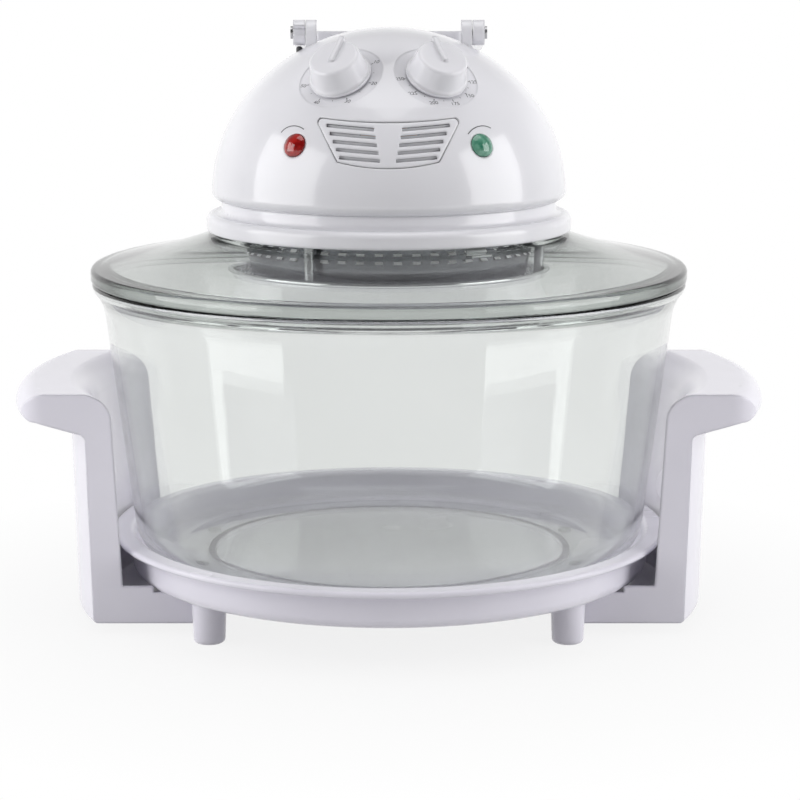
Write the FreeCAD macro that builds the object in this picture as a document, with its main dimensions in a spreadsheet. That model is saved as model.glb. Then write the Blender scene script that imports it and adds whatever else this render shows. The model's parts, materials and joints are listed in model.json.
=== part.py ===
import FreeCAD, Part
import math
import operator
import os
import Sketcher

# A countertop hot-air cooker: a glass bowl on a white stand, and a glass lid with a head on top
# that holds the controls, the fan and a halogen heating lamp.
# Millimetres, Z up, the front towards -Y, the table at Z = 0, the bowl's axis on the Z axis.

os.makedirs("parts", exist_ok=True)
doc = FreeCAD.newDocument("glass_bowl_cooker")
Vector = FreeCAD.Vector
Rotation = FreeCAD.Rotation

# Driving dimensions
SIZES = {
    # Overall
    "rim_radius": 167.5,
    "bowl_height": 160.0,
    "head_radius": 99.3,
    "dome_rise": 92.0,
    "glass": 4.5,
    "plastic": 2.6,
    "sheet_metal": 0.8,
    "play": 0.3,
    # Stand
    "foot_height": 23.5,
    "foot_radius": 9.5,
    "tray_floor": 2.8,
    "tray_height": 22.9,
    "tray_lip": 3.6,
    "rib_radius": 100.0,
    "rib_height": 2.7,
    "handle_half_width": 72.6,
    "handle_wall": 3.0,
    "grip_top": 134.0,
    "grip_reach": 43.0,
    "grip_corner": 11.0,
    "arm_bottom": 6.0,
    "arm_top": 26.8,
    "arm_inner_end": 93.0,
    "stand_screw_x": 105.0,
    "stand_screw_y": 45.0,
    "screw_radius": 1.8,
    # Bowl
    "bowl_corner": 26.0,
    "flare_height": 17.5,
    # Lid
    "rim_edge": 7.4,
    "lid_rise": 28.5,
    "gasket": 1.2,
    # Head base
    "flange_height": 9.6,
    "head_floor": 3.0,
    "seam_rise": 44.3,
    "shaft_opening": 9.0,
    # Heater pan
    "pan_drop": 30.7,
    "pan_floor_radius": 87.0,
    "cup_radius": 76.0,
    "cup_flare": 4.3,
    "post_radius": 2.75,
    "post_circle": 84.2,
    "tube_inset": 18.0,
    "tube_radius": 5.0,
    "probe_inset": 9.5,
    # Fans and motor
    "shaft_radius": 3.0,
    "running_play": 0.05,
    "fan_inset": 31.0,
    "cool_fan_radius": 37.0,
    "rotor_radius": 15.8,
    "stack_height": 22.0,
    # Controls
    "dial_x": 26.0,
    "dial_level": 69.5,
    "dial_radius": 23.0,
    "dial_depth": 2.8,
    "knob_radius": 16.0,
    "knob_height": 15.0,
    "lamp_x": 49.5,
    "lamp_level": 33.2,
    "lamp_radius": 6.3,
    # Vent window
    "vent_top": 47.3,
    "vent_bottom": 22.7,
    "vent_half_top": 36.8,
    "vent_half_bottom": 26.5,
    "slot_height": 1.7,
    # Carry handle
    "lug_inner": 40.0,
    "lug_width": 6.0,
    "hub_radius": 7.0,
    "hub_width": 6.6,
    "hub_clear": 1.015,
    "pin_radius": 2.0,
    "grip_distance": 62.0,
    "grip_width": 12.0,
    "grip_height": 11.0,
    "cam_lift": 3.0,
}

sheet = doc.addObject("Spreadsheet::Sheet", "Sizes")
for row, (alias, number) in enumerate(SIZES.items(), start=1):
    sheet.set(f"A{row}", alias)
    sheet.set(f"B{row}", str(number))
    sheet.setAlias(f"B{row}", alias)
doc.recompute()


class Size:
    """A number together with the sheet expression that gives it."""

    def __init__(self, number, text):
        self.number = float(number)
        self.text = text

    def joined(self, other, sign, reverse=False):
        first, second = (size_of(other), self) if reverse else (self, size_of(other))
        number = SIGNS[sign](first.number, second.number)
        return Size(number, f"({first.text} {sign} {second.text})")

    def __add__(self, other):
        return self.joined(other, "+")

    def __radd__(self, other):
        return self.joined(other, "+", True)

    def __sub__(self, other):
        return self.joined(other, "-")

    def __rsub__(self, other):
        return self.joined(other, "-", True)

    def __mul__(self, other):
        return self.joined(other, "*")

    def __rmul__(self, other):
        return self.joined(other, "*", True)

    def __truediv__(self, other):
        return self.joined(other, "/")


SIGNS = {"+": operator.add, "-": operator.sub, "*": operator.mul, "/": operator.truediv}


def size_of(value):
    return value if isinstance(value, Size) else Size(value, repr(float(value)))


def root(value):
    return Size(math.sqrt(value.number), f"sqrt({value.text})")


def cell(alias):
    return Size(getattr(sheet, alias), f"Sizes.{alias}")


# Helpers that bind an object's properties to the sheet
def bind(item, **sizes):
    for name, value in sizes.items():
        if isinstance(value, Size):
            setattr(item, name, value.number)
            item.setExpression(name, value.text)
        else:
            setattr(item, name, value)
    return item


def place(item, x=0.0, y=0.0, z=0.0, rotation=None):
    sizes = [size_of(value) for value in (x, y, z)]
    base = Vector(*[size.number for size in sizes])
    item.Placement = FreeCAD.Placement(base, rotation or Rotation())
    for axis, value in zip("xyz", (x, y, z)):
        item.setExpression(f"Placement.Base.{axis}", value.text if isinstance(value, Size) else None)
    return item


def add(kind, name):
    return doc.addObject(kind, name)


def cylinder(name, radius, height, x=0.0, y=0.0, z=0.0, rotation=None):
    item = bind(add("Part::Cylinder", name), Radius=radius, Height=height)
    return place(item, x, y, z, rotation)


def cone(name, low_radius, high_radius, height, x=0.0, y=0.0, z=0.0, rotation=None):
    item = bind(add("Part::Cone", name), Radius1=low_radius, Radius2=high_radius, Height=height)
    return place(item, x, y, z, rotation)


def torus(name, circle, radius, z=0.0):
    return place(bind(add("Part::Torus", name), Radius1=circle, Radius2=radius), z=z)


def block(name, x_range, y_range, z_range):
    """A box between two places along each axis."""
    spans = [(size_of(low), size_of(high)) for low, high in (x_range, y_range, z_range)]
    lengths = [high - low for low, high in spans]
    item = bind(add("Part::Box", name), Length=lengths[0], Width=lengths[1], Height=lengths[2])
    return place(item, spans[0][0], spans[1][0], spans[2][0])


def fuse(name, *items):
    item = add("Part::MultiFuse", name)
    item.Shapes = list(items)
    return item


def cut(name, base, *tools):
    item = add("Part::Cut", name)
    item.Base = base
    item.Tool = tools[0] if len(tools) == 1 else fuse(f"{name}_tools", *tools)
    return item


def common(name, first, second):
    item = add("Part::Common", name)
    item.Base = first
    item.Tool = second
    return item


def group(name, items):
    item = add("Part::Compound", name)
    item.Links = list(items)
    return item


SUB_PARTS = {}


def sub_part(name, item):
    item.Label = name
    SUB_PARTS[name] = item
    return item


def origin_plane(body, role):
    return next(item for item in body.Origin.OriginFeatures if item.Role == role)


def hold_point(sketch, geometry, point, x, y):
    """Fix one point of a sketch to two sheet sizes, a zero being the axis itself."""
    for kind, value, axis in (("DistanceX", x, -2), ("DistanceY", y, -1)):
        size = size_of(value)
        if size.number == 0.0:
            sketch.addConstraint(Sketcher.Constraint("PointOnObject", geometry, point, axis))
            continue
        index = sketch.addConstraint(Sketcher.Constraint(kind, -1, 1, geometry, point, size.number))
        if isinstance(value, Size):
            sketch.setExpression(f"Constraints[{index}]", size.text)


def outline(body, name, plane, corners):
    """A closed outline. A corner is (x, y), or (x, y, via x, via y) where an arc leads to it."""
    sketch = body.newObject("Sketcher::SketchObject", name)
    sketch.AttachmentSupport = [(origin_plane(body, plane), "")]
    sketch.MapMode = "FlatFace"
    places = [Vector(size_of(c[0]).number, size_of(c[1]).number, 0) for c in corners]
    edges = []
    for index, corner in enumerate(corners):
        start, end = places[index - 1], places[index]
        if len(corner) == 4:
            via = Vector(size_of(corner[2]).number, size_of(corner[3]).number, 0)
            # A sketch keeps every arc counter-clockwise, so a clockwise one is drawn from its end.
            turned_back = (via - start).cross(end - via).z < 0
            arc = Part.Arc(end, via, start) if turned_back else Part.Arc(start, via, end)
            edge = sketch.addGeometry(arc)
            mark = sketch.addGeometry(Part.Point(via), True)
            sketch.addConstraint(Sketcher.Constraint("PointOnObject", mark, 1, edge))
            hold_point(sketch, mark, 1, corner[2], corner[3])
            edges.append((edge, 2 if turned_back else 1, 1 if turned_back else 2))
        else:
            edges.append((sketch.addGeometry(Part.LineSegment(start, end)), 1, 2))
    for index, (edge, first, last) in enumerate(edges):
        following, next_first, next_last = edges[(index + 1) % len(edges)]
        sketch.addConstraint(Sketcher.Constraint("Coincident", edge, last, following, next_first))
        hold_point(sketch, edge, last, corners[index][0], corners[index][1])
    return sketch


def turned(name, corners, angle=360.0):
    """A body turned about Z from an outline of (radius, height) corners."""
    body = add("PartDesign::Body", name)
    sketch = outline(body, f"{name}_outline", "XZ_Plane", corners)
    turn = body.newObject("PartDesign::Revolution", f"{name}_turn")
    turn.Profile = sketch
    turn.ReferenceAxis = (sketch, ["V_Axis"])
    turn.Midplane = angle < 360.0
    turn.Angle = angle
    body.Tip = turn
    return body


def padded_body(name, plane, corners, length):
    """A body padded both ways from an outline on one of its origin planes."""
    body = add("PartDesign::Body", name)
    sketch = outline(body, f"{name}_outline", plane, corners)
    pad = body.newObject("PartDesign::Pad", f"{name}_pad")
    pad.Profile = sketch
    pad.Midplane = True
    bind(pad, Length=length)
    body.Tip = pad
    return body


def swung(name, item, angle):
    """A sub-assembly turned about Z."""
    return place(group(name, [item]), rotation=turn_about_z(angle))


def around(radius, angle):
    """X and Y at an angle from the front, counted towards the right, on a circle about Z."""
    turn = math.radians(angle)
    return size_of(radius) * math.sin(turn), size_of(radius) * -math.cos(turn)


def turn_about_z(angle):
    return Rotation(Vector(0, 0, 1), angle)


ALONG_X = Rotation(Vector(0, 1, 0), 90)

# Levels above the table
rim_radius = cell("rim_radius")
head_radius = cell("head_radius")
glass = cell("glass")
play = cell("play")
tray_bottom = cell("foot_height")
tray_top = tray_bottom + cell("tray_height")
tray_inside = tray_bottom + cell("tray_floor")
bowl_seat = tray_inside + cell("rib_height")
rim = bowl_seat + cell("bowl_height")
neck_top = rim + cell("lid_rise")
floor_under = neck_top + cell("gasket")
floor_top = floor_under + cell("head_floor")
seam = rim + cell("seam_rise")
dome_level = seam + 2.7
pan_level = floor_under - cell("pan_drop")
shield_under = floor_under - cell("sheet_metal")

# Radii
tray_band_radius = rim_radius - 20.0
tray_base_radius = rim_radius - 25.5
lid_neck_radius = head_radius - 0.3


# Stand
def base_tray():
    lip = cell("tray_lip")
    lip_radius = rim_radius - 9.9
    wall_inside = tray_band_radius - 2.5
    rib_outer = cell("rib_radius") + 4.0
    dish = turned("tray_dish", [
        (0, tray_bottom),
        (tray_base_radius, tray_bottom),
        (tray_band_radius, tray_bottom + 5.5, tray_band_radius - 1.6, tray_bottom + 1.6),
        (tray_band_radius, tray_top - lip),
        (lip_radius - lip / 2, tray_top - lip),
        (lip_radius - lip / 2, tray_top, lip_radius, tray_top - lip / 2),
        (tray_band_radius + 1.0, tray_top),
        (wall_inside, tray_top - 3.5, wall_inside + 1.0, tray_top - 1.0),
        (wall_inside, tray_inside + 5.0),
        (wall_inside - 5.0, tray_inside, wall_inside - 1.5, tray_inside + 1.5),
        (rib_outer, tray_inside),
        (rib_outer, bowl_seat),
        (cell("rib_radius"), bowl_seat),
        (cell("rib_radius"), tray_inside),
        (0, tray_inside),
    ])
    spigot_holes = [
        cylinder(f"spigot_hole_{index}", 5.0, 20.0, x, y, tray_bottom - 10.0)
        for index, (x, y) in enumerate(foot_places().values())
    ]
    screw_holes = [
        cylinder(f"stand_screw_hole_{index}", cell("screw_radius") + 0.2, 20.0, x, y, tray_bottom - 10.0)
        for index, (x, y) in enumerate(stand_screw_places())
    ]
    return sub_part("base_tray", cut("tray", dish, *spigot_holes, *screw_holes))


def foot_places():
    x = rim_radius * 0.582
    y = rim_radius * 0.525
    return {
        "front_left": (0 - x, 0 - y),
        "front_right": (x, 0 - y),
        "back_left": (0 - x, y),
        "back_right": (x, y),
    }


def foot(side, x, y):
    radius = cell("foot_radius")
    post = turned(f"foot_{side}_body", [
        (0, 0),
        (radius - 3.3, 0),
        (radius - 0.8, 2.5, radius - 1.5, 0.75),
        (radius, tray_bottom),
        (5.0, tray_bottom),
        (5.0, tray_bottom + 2.5),
        (0, tray_bottom + 2.5),
    ])
    return sub_part(f"foot_{side}", place(post, x, y))


def grip_plan(name, reach, width, corner):
    """A bracket's plan as an upright prism: two straight ends, and the grip's outer corners rounded."""
    corner_x = root(reach * reach - width * width)
    past_x = corner_x + corner * 0.345
    past_y = width - corner * 0.939
    via_x = corner_x - corner * 0.18
    via_y = width - corner * 0.258
    return padded_body(name, "XY_Plane", [
        (60, 0 - width),
        (corner_x - corner, 0 - width),
        (past_x, 0 - past_y, via_x, 0 - via_y),
        (reach + 20.0, 0),
        (past_x, past_y),
        (corner_x - corner, width, via_x, via_y),
        (60, width),
    ], 400.0)


def handle(side, turn):
    """A bracket: a hollow grip and leg curved round the bowl, and an open-topped arm under the tray."""
    width = cell("handle_half_width")
    wall = cell("handle_wall")
    top = cell("grip_top")
    low = cell("arm_bottom")
    reach = rim_radius + cell("grip_reach")
    leg_low = rim_radius - 5.5
    leg_high = rim_radius - 0.5
    outer_high = rim_radius + 12.6
    outer_low = rim_radius + 10.5
    skin = turned(f"{side}_skin", [
        (leg_low, low),
        (outer_low - 2.5, low),
        (outer_low, low + 2.5, outer_low - 0.7, low + 0.7),
        (outer_high, top - 27.0),
        (outer_high + 3.8, top - 22.0, outer_high + 1.0, top - 23.5),
        (reach - 5.5, top - 15.6),
        (reach, top - 10.0, reach - 1.5, top - 14.1),
        (reach - 12.0, top, reach - 3.4, top - 3.1),
        (rim_radius + 12.5, top),
        (leg_high, top - 15.0, leg_high + 3.6, top - 5.0),
    ], 64.0)
    core = turned(f"{side}_core", [
        (leg_low + wall, low - 1.0),
        (outer_low - wall, low - 1.0),
        (outer_high - wall, top - 22.0),
        (outer_high + 3.0, top - 18.6),
        (reach - 6.5, top - 12.4),
        (reach - wall, top - 10.0, reach - 4.0, top - 11.8),
        (reach - 12.0, top - wall, reach - 5.7, top - 5.1),
        (rim_radius + 14.0, top - wall),
        (leg_high + wall, top - 15.5, leg_high + 6.8, top - 6.6),
    ], 64.0)
    far = rim_radius + 60.0
    corner = cell("grip_corner")
    skin_trim = grip_plan(f"{side}_skin_trim", reach, width, corner)
    core_trim = grip_plan(f"{side}_core_trim", reach - wall, width - wall, corner - wall * 0.7)
    arm_disc = cylinder(f"{side}_arm_disc", leg_low + 2.0, cell("arm_top") - low, z=low)
    arm_trim = block(f"{side}_arm_trim", (cell("arm_inner_end"), far), (0 - width, width), (0, 60))
    well_disc = cylinder(f"{side}_well_disc", leg_low - 1.0, 40.0, z=low + wall)
    well_trim = block(
        f"{side}_well_trim", (cell("arm_inner_end") + wall, far), (wall - width, width - wall), (0, 60)
    )
    tray_room = cylinder(f"{side}_tray_room", tray_band_radius + 0.5, 40.0, z=tray_bottom)
    shell = cut(
        f"{side}_shell",
        fuse(
            f"{side}_outer",
            common(f"{side}_skin_cut", skin, skin_trim),
            common(f"{side}_arm", arm_disc, arm_trim),
        ),
        common(f"{side}_core_cut", core, core_trim),
        common(f"{side}_well", well_disc, well_trim),
        tray_room,
    )
    bosses = []
    pilots = []
    for index, across in enumerate((cell("stand_screw_y"), 0 - cell("stand_screw_y"))):
        spot = (cell("stand_screw_x"), across)
        bosses.append(cylinder(f"{side}_boss_{index}", 5.5, tray_bottom - low, *spot, low))
        pilots.append(cylinder(f"{side}_pilot_{index}", cell("screw_radius"), 30.0, *spot, low + 5.0))
    body = cut(f"{side}_bracket", fuse(f"{side}_bossed", shell, *bosses), *pilots)
    return sub_part(f"handle_{side}", place(body, rotation=turn_about_z(turn)))


def stand_screw_places():
    x = cell("stand_screw_x")
    y = cell("stand_screw_y")
    return [(x, y), (x, 0 - y), (0 - x, y), (0 - x, 0 - y)]


def screw(name, x, y, head_seat, length, head_radius_here, radius, up=True):
    """A pan-head screw along Z whose head rests on head_seat, above it or below it."""
    head_height = 2.0
    if up:
        head = cylinder(f"{name}_head", head_radius_here, head_height, x, y, head_seat)
        shank = cylinder(f"{name}_shank", radius, length, x, y, head_seat - length)
    else:
        head = cylinder(f"{name}_head", head_radius_here, head_height, x, y, head_seat - head_height)
        shank = cylinder(f"{name}_shank", radius, length, x, y, head_seat)
    return fuse(name, head, shank)


def handle_screws():
    screws = [
        screw(f"handle_screw_{index}", x, y, tray_inside, 12.0, 3.8, cell("screw_radius"))
        for index, (x, y) in enumerate(stand_screw_places())
    ]
    return sub_part("handle_screws", group("handle_screw_set", screws))


# Bowl
def glass_bowl():
    corner = cell("bowl_corner")
    inner_corner = corner - glass
    centre = rim_radius - 48.0
    wall_top = rim - cell("flare_height")
    wall_radius = rim_radius - 7.5
    lip_radius = rim_radius - 1.0
    body = turned("bowl_body", [
        (0, bowl_seat),
        (centre, bowl_seat),
        (centre + corner * 0.9925, bowl_seat + corner * 0.878,
         centre + corner * 0.663, bowl_seat + corner * 0.251),
        (wall_radius, wall_top),
        (lip_radius - 0.4, rim - 5.0, wall_radius + 2.3, wall_top + 7.0),
        (lip_radius, rim - 3.2),
        (lip_radius - 1.4, rim, lip_radius - 0.3, rim - 0.6),
        (rim_radius - 5.6, rim),
        (rim_radius - 7.0, rim - 1.6, rim_radius - 6.6, rim - 0.4),
        (wall_radius - glass, wall_top, wall_radius - 2.9, wall_top + 7.6),
        (centre + inner_corner * 0.9925, bowl_seat + corner - inner_corner * 0.122),
        (centre, bowl_seat + glass,
         centre + inner_corner * 0.663, bowl_seat + corner - inner_corner * 0.749),
        (0, bowl_seat + glass),
    ])
    return sub_part("glass_bowl", body)


# Lid
def glass_lid():
    edge = rim + cell("rim_edge")
    neck_inside = lid_neck_radius - glass
    ring_outer = rim_radius - 8.9
    ring_inner = ring_outer - 3.2
    shoulder = neck_top - 4.2
    middle = (rim_radius + lid_neck_radius) / 2
    body = turned("lid_body", [
        (ring_outer, rim),
        (rim_radius - 1.4, rim),
        (rim_radius, rim + 1.4, rim_radius - 0.4, rim + 0.4),
        (rim_radius, edge - 2.4),
        (rim_radius - 2.8, edge, rim_radius - 0.8, edge - 0.7),
        (lid_neck_radius + 2.6, shoulder, middle, rim + 14.1),
        (lid_neck_radius, neck_top - 1.0, lid_neck_radius + 0.6, shoulder + 1.6),
        (lid_neck_radius, neck_top),
        (neck_inside, neck_top),
        (neck_inside, shoulder - 0.4),
        (neck_inside + 3.0, shoulder - 4.0, neck_inside + 0.9, shoulder - 2.6),
        (ring_inner, rim + 4.0, middle - 1.4, rim + 9.7),
        (ring_inner, rim - 3.6),
        (ring_outer, rim - 3.6, ring_inner + 1.6, rim - 4.8),
    ])
    return sub_part("glass_lid", body)


def neck_gasket():
    inside = lid_neck_radius - glass
    body = turned("gasket_body", [
        (inside, neck_top),
        (lid_neck_radius, neck_top),
        (lid_neck_radius, floor_under),
        (inside, floor_under),
    ])
    return sub_part("neck_gasket", body)


# Heater pan under the head
def pan_ring():
    outer = cell("pan_floor_radius") + 1.0
    inner = outer - cell("sheet_metal")
    floor = pan_level
    body = turned("ring_body", [
        (outer - 1.8, floor - 1.3),
        (outer, floor - 1.3),
        (outer, floor + 2.0),
        (outer + 0.9, floor + 5.3, outer + 2.6, floor + 3.6),
        (inner, floor + 3.6, outer - 0.4, floor + 4.8),
        (inner, floor),
        (outer - 1.8, floor),
    ])
    return sub_part("pan_ring", body)


SLOTS_PER_ROW = 50


def air_shield():
    skin = cell("sheet_metal")
    outer = cell("pan_floor_radius")
    cup = cell("cup_radius")
    top_radius = cup + cell("cup_flare")
    body = turned("air_shield", [
        (cup, pan_level),
        (outer, pan_level),
        (outer, pan_level + skin),
        (cup + skin * 1.1, pan_level + skin),
        (top_radius + skin, shield_under),
        (cup - 2.0, shield_under),
        (cup - 2.0, shield_under - skin),
        (top_radius - 0.2, shield_under - skin),
        (cup, pan_level + skin),
    ])
    slots = []
    for index in range(SLOTS_PER_ROW):
        angle = 360.0 * index / SLOTS_PER_ROW
        for row in range(3):
            start = cup + 1.8 + 2.6 * row
            through = (pan_level - 1.0, pan_level + 2.0)
            slot = block(f"floor_slot_{row}_{index}", (start, start + 1.2), (-2.3, 2.3), through)
            slots.append(swung(f"floor_slot_at_{row}_{index}", slot, angle))
        level = pan_level + 16.3
        slot = block(f"wall_slot_{index}", (cup - 1.0, cup + 7.0), (-2.3, 2.3), (level - 1.0, level + 1.0))
        slots.append(swung(f"wall_slot_at_{index}", slot, angle))
    holes = [
        cylinder(f"shield_post_hole_{index}", 1.55, 4.0, x, y, pan_level - 1.0)
        for index, (x, y) in enumerate(post_places())
    ]
    return sub_part("air_shield", cut("air_shield_slotted", body, group("shield_slots", slots), *holes))


def post_places():
    return [around(cell("post_circle"), angle) for angle in (-30, 90, 210)]


def pan_posts():
    posts = []
    for index, (x, y) in enumerate(post_places()):
        base = pan_level + cell("sheet_metal")
        low = pan_level - 1.4
        sleeve = cylinder(f"post_sleeve_{index}", cell("post_radius"), shield_under - base, x, y, base)
        stud = cylinder(f"post_stud_{index}", 1.5, floor_under + 2.0 - low, x, y, low)
        nut = cylinder(f"post_nut_{index}", 1.9, 1.4, x, y, low)
        posts.append(fuse(f"post_{index}", sleeve, stud, nut))
    return sub_part("pan_posts", group("post_set", posts))


def heat_shield():
    disc = cylinder("shield_disc", head_radius - 8.3, cell("sheet_metal"), z=shield_under)
    opening = cylinder("shield_opening", 5.0, 4.0, z=shield_under - 1.0)
    holes = [
        cylinder(f"shield_stud_hole_{index}", 1.5, 4.0, x, y, shield_under - 1.0)
        for index, (x, y) in enumerate(post_places())
    ]
    return sub_part("heat_shield", cut("shield", disc, opening, *holes))


def glass_clips():
    """Three steel hooks that hold the glass neck up to the head."""
    skin = cell("sheet_metal")
    stem = lid_neck_radius - glass - 2.2
    hook_level = neck_top - 9.6
    clips = []
    for index, angle in enumerate((30, 150, 270)):
        tab = block(f"clip_tab_{index}", (stem - 8.0, stem), (-6, 6), (shield_under - skin, shield_under))
        drop = block(f"clip_drop_{index}", (stem - skin, stem), (-6, 6), (hook_level, shield_under))
        toe = block(f"clip_toe_{index}", (stem - skin, stem + 6.0), (-6, 6), (hook_level, hook_level + skin))
        clip = fuse(f"clip_{index}", tab, drop, toe)
        clips.append(place(clip, rotation=turn_about_z(angle - 90)))
    return sub_part("glass_clips", group("clip_set", clips))


def tube_circle():
    return cell("cup_radius") - cell("tube_inset")


def halogen_tube():
    tube = torus("tube_ring", tube_circle(), cell("tube_radius"), tube_level())
    gap = block("tube_gap", (-6, 6), (30, 90), (tube_level() - 10, tube_level() + 10))
    return sub_part("halogen_tube", cut("tube", tube, gap))


def tube_level():
    return pan_level + 9.0


def tube_holders():
    """Ceramic blocks hung from the heat shield, each saddled over the tube, the rear pair on its ends."""
    circle = tube_circle()
    saddle = torus("saddle", circle, cell("tube_radius") + 0.1, tube_level())
    holders = []
    for index, angle in enumerate((-60, 60, 172, 188)):
        body = block(
            f"holder_block_{index}", (circle - 5.0, circle + 5.0), (-4, 4),
            (tube_level() + 1.0, shield_under),
        )
        holders.append(place(cut(f"holder_{index}", body, saddle), rotation=turn_about_z(angle - 90)))
    return sub_part("tube_holders", group("holder_set", holders))


def guard_grille():
    level = pan_level + 1.3
    outer = cell("cup_radius") - 1.05
    rings = [
        torus(f"guard_ring_{index}", outer * share, 1.0, level)
        for index, share in enumerate((0.2, 0.4, 0.6, 0.8, 1.0))
    ]
    spokes = []
    for index in range(4):
        rod = cylinder(f"guard_rod_{index}", 0.9, outer * 2, 0 - outer, 0, level - 1.2, ALONG_X)
        spokes.append(swung(f"guard_spoke_{index}", rod, 45.0 * index + 22.5))
    return sub_part("guard_grille", fuse("guard", *rings, *spokes))


# Head
def head_base():
    flange_radius = head_radius + 3.1
    flange_bottom = neck_top - 1.3
    flange_top = flange_bottom + cell("flange_height")
    neck = head_radius - 5.3
    spigot = neck - 2.6
    wall_inside = spigot - 2.8
    opening = cell("shaft_opening")
    shell = turned("head_base_shell", [
        (opening, floor_under),
        (lid_neck_radius + 0.4, floor_under),
        (lid_neck_radius + 0.4, flange_bottom),
        (flange_radius - 0.8, flange_bottom),
        (flange_radius, flange_bottom + 0.8, flange_radius - 0.25, flange_bottom + 0.25),
        (flange_radius, flange_bottom + 5.8),
        (flange_radius - 4.4, flange_top, flange_radius - 1.3, flange_bottom + 8.5),
        (neck, flange_top + 2.4, neck + 0.9, flange_top + 0.5),
        (neck, seam),
        (spigot, seam),
        (spigot, seam + 3.7),
        (wall_inside, seam + 3.7),
        (wall_inside, floor_top),
        (opening, floor_top),
    ])
    pillars = [
        cylinder(f"motor_pillar_{index}", 4.0, stack_bottom() - 1.6 - floor_top, x, y, floor_top)
        for index, (x, y) in enumerate(bracket_places())
    ]
    pilots = [
        cylinder(f"pillar_pilot_{index}", 1.5, 12.0, x, y, stack_bottom() - 11.6)
        for index, (x, y) in enumerate(bracket_places())
    ]
    stud_holes = [
        cylinder(f"base_stud_hole_{index}", 1.5, 3.0, x, y, floor_under - 1.0)
        for index, (x, y) in enumerate(post_places())
    ]
    screw_holes = []
    for index, (x, y) in enumerate(cover_screw_places()):
        screw_holes.append(cylinder(f"cover_screw_hole_{index}", 1.7, 10.0, x, y, floor_under - 1.0))
        screw_holes.append(cylinder(f"cover_screw_sink_{index}", 3.8, 3.0, x, y, floor_under - 1.0))
    cutout_hole = cylinder("cutout_hole", 8.4, 10.0, *cutout_place(), floor_under - 1.0)
    solid = fuse("head_base_solid", shell, *pillars)
    drilled = cut("head_base_drilled", solid, *pilots, *stud_holes, *screw_holes, cutout_hole)
    return sub_part("head_base", drilled)


def cover_screw_places():
    return [around(head_radius - 19.3, angle) for angle in (45, 135, 225, 315)]


def cutout_place():
    return -62.0, 26.0


def cover_screws():
    screws = [
        screw(f"cover_screw_{index}", x, y, floor_under + 2.0, 14.0, 3.6, 1.5, up=False)
        for index, (x, y) in enumerate(cover_screw_places())
    ]
    return sub_part("cover_screws", group("cover_screw_set", screws))


def dome_arcs(shrink):
    """The dome's side arc and cap arc: each one's centre (radius, level) and own radius.

    The two meet smoothly and stand in for the ellipse of the same width and rise."""
    wide = head_radius - shrink
    tall = cell("dome_rise") - shrink
    side = tall * tall / wide
    side_centre = wide - side
    cap = (side_centre * side_centre + tall * tall - side * side) / (2 * (tall - side))
    return side_centre, side, tall - cap, cap


def dome(name, shrink, low=0.0):
    """The solid under the dome from a level over its widest ring, shrunk by an even wall."""
    side_centre, side, cap_centre, cap = dome_arcs(shrink)
    out = side_centre / (cap - side)
    up = (0 - cap_centre) / (cap - side)
    side_share = side / root((1 + out) * (1 + out) + up * up)
    cap_share = cap / root(out * out + (1 + up) * (1 + up))
    low_radius = side_centre + root(side * side - size_of(low) * low)
    body = turned(name, [
        (0, low),
        (low_radius, low),
        (cap * out, cap_centre + cap * up, side_centre + side_share * (1 + out), side_share * up),
        (0, cap_centre + cap, cap_share * out, cap_centre + cap_share * (1 + up)),
    ])
    return place(body, z=dome_level)


def dome_frame(x, level):
    """Position and outward direction on the front of the dome, at x and a height over its widest ring."""
    side_centre, side, cap_centre, cap = (size.number for size in dome_arcs(0.0))
    joint = cap_centre * (1 - cap / (cap - side))
    on_side = level < joint
    radius = side if on_side else cap
    middle = 0.0 if on_side else cap_centre
    reach = math.sqrt(radius ** 2 - (level - middle) ** 2)
    ring = reach + (side_centre if on_side else 0.0)
    y = -math.sqrt(ring ** 2 - x ** 2)
    outward = Vector(reach * x / ring, reach * y / ring, level - middle).normalize()
    return Vector(x, y, dome_level.number + level), outward


def facing(position, outward, sink=0.0):
    """A placement whose Z is the outward direction and whose X stays level."""
    level = Vector(0, 0, 1).cross(outward).normalize()
    rotation = Rotation(level, outward.cross(level), outward, "ZXY")
    return FreeCAD.Placement(position - outward * sink, rotation)


def dial_frame(side):
    """The dial seat's own frame: a flat round seat sunk into the dome."""
    position, outward = dome_frame(side * cell("dial_x").number, cell("dial_level").number)
    return facing(position, outward, cell("dial_depth").number)


def lamp_frame(side):
    position, outward = dome_frame(side * cell("lamp_x").number, cell("lamp_level").number)
    return facing(position, outward)


def dial_pads(name, margin):
    """The round pads behind the two dial seats, grown all round by a margin."""
    pads = []
    radius = cell("dial_radius") + 2.0 + margin
    for side, label in ((-1, "left"), (1, "right")):
        pad = cylinder(f"{name}_{label}", radius, cell("dial_depth") + 4.0 + margin)
        pad.Placement = dial_frame(side).multiply(FreeCAD.Placement(Vector(0, 0, -5.0 - margin), Rotation()))
        pads.append(pad)
    return pads


def vent_window(name, margin):
    """The prism through the front of the dome behind which the vent panel sits."""
    top = cell("vent_top") + margin
    bottom = cell("vent_bottom") - margin
    half_top = cell("vent_half_top") + margin
    half_bottom = cell("vent_half_bottom") + margin
    body = add("PartDesign::Body", name)
    sketch = outline(body, f"{name}_outline", "XZ_Plane", [
        (0 - half_bottom, bottom + 3.0),
        (half_bottom, bottom + 3.0, 0, bottom),
        (half_top, top - 3.0),
        (half_top - 2.5, top, half_top - 0.6, top - 0.8),
        (2.5 - half_top, top, 0, top - 1.8),
        (0 - half_top, top - 3.0, 0.6 - half_top, top - 0.8),
    ])
    pad = body.newObject("PartDesign::Pad", f"{name}_pad")
    pad.Profile = sketch
    pad.Length = 140.0
    body.Tip = pad
    return place(body, z=dome_level)


def hub_inner():
    return cell("lug_inner") + cell("lug_width") + 0.4


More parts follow.
